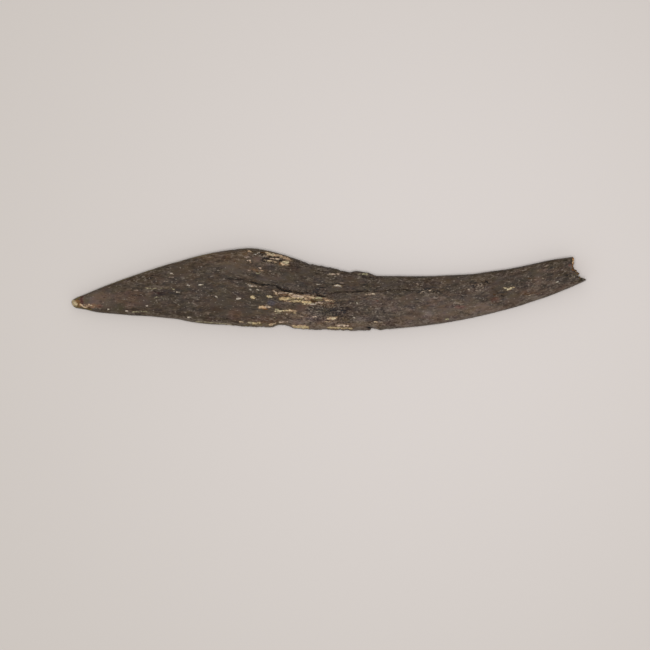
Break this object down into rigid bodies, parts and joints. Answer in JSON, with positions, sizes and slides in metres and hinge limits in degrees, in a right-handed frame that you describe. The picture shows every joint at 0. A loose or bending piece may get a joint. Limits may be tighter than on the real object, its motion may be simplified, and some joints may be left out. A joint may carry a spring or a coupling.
{
  "type": "harpoon barb",
  "caption": "Long curved bone barb with a pointed spur, a low hump on its back, and a slender stem that ends in a ragged break.",
  "frame": {"origin": "on the flat inner face, under the middle of the barb's bounding box", "axes": "+X along the barb from the spur tip to the break, +Y towards the back with the hump, +Z out of the domed outer face"},
  "size_m": [0.13, 0.0208, 0.0062],
  "materials": {
    "bone": "satin"
  },
  "bodies": {
    "root": {"barb": "bone"}
  },
  "joints": []
}
